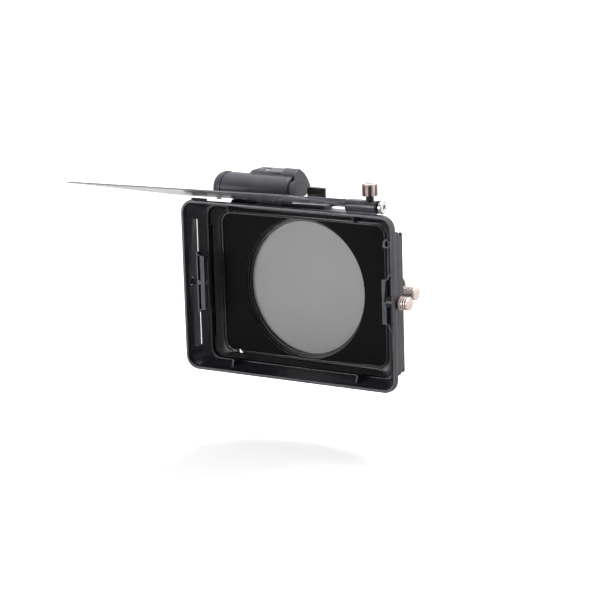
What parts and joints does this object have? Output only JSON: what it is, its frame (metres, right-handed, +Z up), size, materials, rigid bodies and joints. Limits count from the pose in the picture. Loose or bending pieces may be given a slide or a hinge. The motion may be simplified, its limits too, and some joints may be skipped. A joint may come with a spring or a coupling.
{
  "type": "matte box",
  "caption": "Clamp-on matte box with flared hood, side filter clamps, lift-out motorised round filter cartridge and tilting top flag.",
  "frame": {"origin": "on the optical axis, in the plane of the rear clamp ring's rear face", "axes": "+X to the right seen from the front, +Y from the front rim to the rear, +Z up"},
  "size_m": [0.2112, 0.1578, 0.1548],
  "materials": {
    "moulded_shell": "fine satin moulding, charcoal",
    "anodised_black": "black anodised, satin",
    "black_steel": "blackened",
    "rose_metal": "rose coloured anodising, polished",
    "bright_steel": "bright turned steel",
    "gear_metal": "bare steel",
    "flocking": "short black flock",
    "smoked_glass": "smoked polarising filter, glossy",
    "flag_sheet": "glossy fibre laminate",
    "drive_shell": "satin moulding, mid grey",
    "black_rubber": "matt",
    "board": "green circuit board"
  },
  "bodies": {
    "frame": {"front_hood": "moulded_shell", "clamp_bush_right": "black_steel", "latch_pin": "black_steel", "aperture_frame": "moulded_shell", "flock_pad_right": "flocking", "flock_pad_left": "flocking", "rear_body": "anodised_black", "rear_clamp_ring": "anodised_black", "ring_screw_1": "black_steel", "ring_screw_2": "black_steel", "ring_screw_3": "black_steel", "ring_screw_4": "black_steel", "lock_bush": "black_steel", "lever_bracket": "anodised_black", "lever_pin": "bright_steel", "hinge_barrel": "black_steel", "hinge_washer": "black_steel", "flag_rest_pad": "black_rubber"},
    "filter_cartridge": {"cartridge_frame": "anodised_black", "cartridge_rail": "anodised_black", "fixed_filter_ring": "black_steel", "fixed_polariser_glass": "smoked_glass", "idler_pin": "black_steel", "drive_motor": "gear_metal", "drive_unit_base": "anodised_black", "drive_unit_shell": "drive_shell", "drive_unit_cap_left": "drive_shell", "drive_unit_cap_right": "drive_shell", "battery_cell": "gear_metal", "control_board": "board"},
    "turning_ring": {"toothed_filter_ring": "black_steel", "turning_polariser_glass": "smoked_glass"},
    "idler": {"idler_gear": "gear_metal"},
    "pinion": {"motor_pinion": "gear_metal"},
    "unit_button": {"drive_button": "black_rubber"},
    "right_knob": {"clamp_knob_right": "rose_metal", "clamp_screw_right": "black_steel"},
    "right_jaw": {"clamp_jaw_right": "anodised_black"},
    "left_screw": {"jaw_screw_left": "black_steel"},
    "left_jaw": {"clamp_jaw_left": "anodised_black"},
    "latch": {"filter_latch": "moulded_shell"},
    "side_lock": {"lock_knob": "rose_metal", "lock_screw": "black_steel"},
    "side_lock_pad": {"lock_pad": "black_rubber"},
    "thumb_lever": {"release_lever": "rose_metal"},
    "clamp_ring_screw": {"ring_clamp_screw": "black_steel"},
    "flag": {"top_flag": "flag_sheet", "flag_bar": "black_steel", "hinge_rod": "black_steel", "flag_screw_1": "black_steel", "flag_screw_2": "black_steel", "flag_screw_3": "black_steel"},
    "flag_end_screw": {"hinge_end_screw": "bright_steel"},
    "thumb_stem": {"thumbscrew_stem": "black_steel"},
    "thumb_head": {"flag_thumbscrew": "rose_metal"}
  },
  "joints": [
    {"name": "cartridge_lift", "type": "slide", "parent": "frame", "child": "filter_cartridge", "axis": [0, 0, 1], "range_m": [0, 0.112]},
    {"name": "filter_turn", "type": "hinge", "parent": "filter_cartridge", "child": "turning_ring", "pos_m": [0, -0.0279, 0], "axis": [0, 1, 0], "range_deg": [-45, 45]},
    {"name": "idler_turn", "type": "hinge", "parent": "filter_cartridge", "child": "idler", "pos_m": [-0.03, -0.0279, 0.05489], "axis": [0, 1, 0], "range_deg": [-248, 248]},
    {"name": "pinion_turn", "type": "hinge", "parent": "filter_cartridge", "child": "pinion", "pos_m": [-0.03, -0.0279, 0.07004], "axis": [0, 1, 0], "range_deg": [-441, 441]},
    {"name": "button_press", "type": "slide", "parent": "filter_cartridge", "child": "unit_button", "axis": [0, 0, -1], "range_m": [0, 0.0005], "stiffness_N_per_m": 400, "springref_m": -0.001},
    {"name": "right_knob_turn", "type": "hinge", "parent": "frame", "child": "right_knob", "pos_m": [0.09, -0.0493, 0.001], "axis": [1, 0, 0], "range_deg": [0, 906]},
    {"name": "right_jaw_slide", "type": "slide", "parent": "frame", "child": "right_jaw", "axis": [-1, 0, 0], "range_m": [0, 0.0025]},
    {"name": "left_screw_turn", "type": "hinge", "parent": "frame", "child": "left_screw", "pos_m": [-0.086, -0.0493, 0.001], "axis": [-1, 0, 0], "range_deg": [0, 906]},
    {"name": "left_jaw_slide", "type": "slide", "parent": "frame", "child": "left_jaw", "axis": [1, 0, 0], "range_m": [0, 0.0025]},
    {"name": "latch_swing", "type": "hinge", "parent": "frame", "child": "latch", "pos_m": [0.0845, -0.0496, 0.0422], "axis": [0, 1, 0], "range_deg": [-10, 30]},
    {"name": "side_lock_turn", "type": "hinge", "parent": "frame", "child": "side_lock", "pos_m": [0.08, -0.0239, 0.0024], "axis": [1, 0, 0], "range_deg": [0, 231]},
    {"name": "side_lock_press", "type": "slide", "parent": "frame", "child": "side_lock_pad", "axis": [-1, 0, 0], "range_m": [0, 0.0005]},
    {"name": "thumb_lever_swing", "type": "hinge", "parent": "frame", "child": "thumb_lever", "pos_m": [0.0702, -0.0174, 0.0006], "axis": [0, 1, 0], "range_deg": [0, 35]},
    {"name": "clamp_ring_screw_turn", "type": "hinge", "parent": "frame", "child": "clamp_ring_screw", "pos_m": [0.008, -0.0045, -0.0518], "axis": [1, 0, 0], "range_deg": [-180, 720]},
    {"name": "flag_tilt", "type": "hinge", "parent": "frame", "child": "flag", "pos_m": [0, -0.0533, 0.0679], "axis": [1, 0, 0], "range_deg": [-45, 20]},
    {"name": "end_screw_turn", "type": "hinge", "parent": "flag", "child": "flag_end_screw", "pos_m": [0.078, -0.0533, 0.0679], "axis": [1, 0, 0], "range_deg": [-180, 720]},
    {"name": "thumb_rise", "type": "slide", "parent": "frame", "child": "thumb_stem", "axis": [0, 0, 1], "range_m": [0, 0.0005]},
    {"name": "thumb_turn", "type": "hinge", "parent": "thumb_stem", "child": "thumb_head", "pos_m": [0.0695, -0.0533, 0.08], "axis": [0, 0, 1], "range_deg": [0, 366]}
  ],
  "couplings": [
    {"joint": "idler_turn", "follows": "filter_turn", "ratio": -5.5},
    {"joint": "pinion_turn", "follows": "filter_turn", "ratio": 9.7778},
    {"joint": "right_knob_turn", "follows": "right_jaw_slide", "rad_per_m": 6283.2},
    {"joint": "left_screw_turn", "follows": "left_jaw_slide", "rad_per_m": 6283.2},
    {"joint": "side_lock_turn", "follows": "side_lock_press", "rad_per_m": 7854},
    {"joint": "thumb_turn", "follows": "thumb_rise", "rad_per_m": 12566}
  ]
}
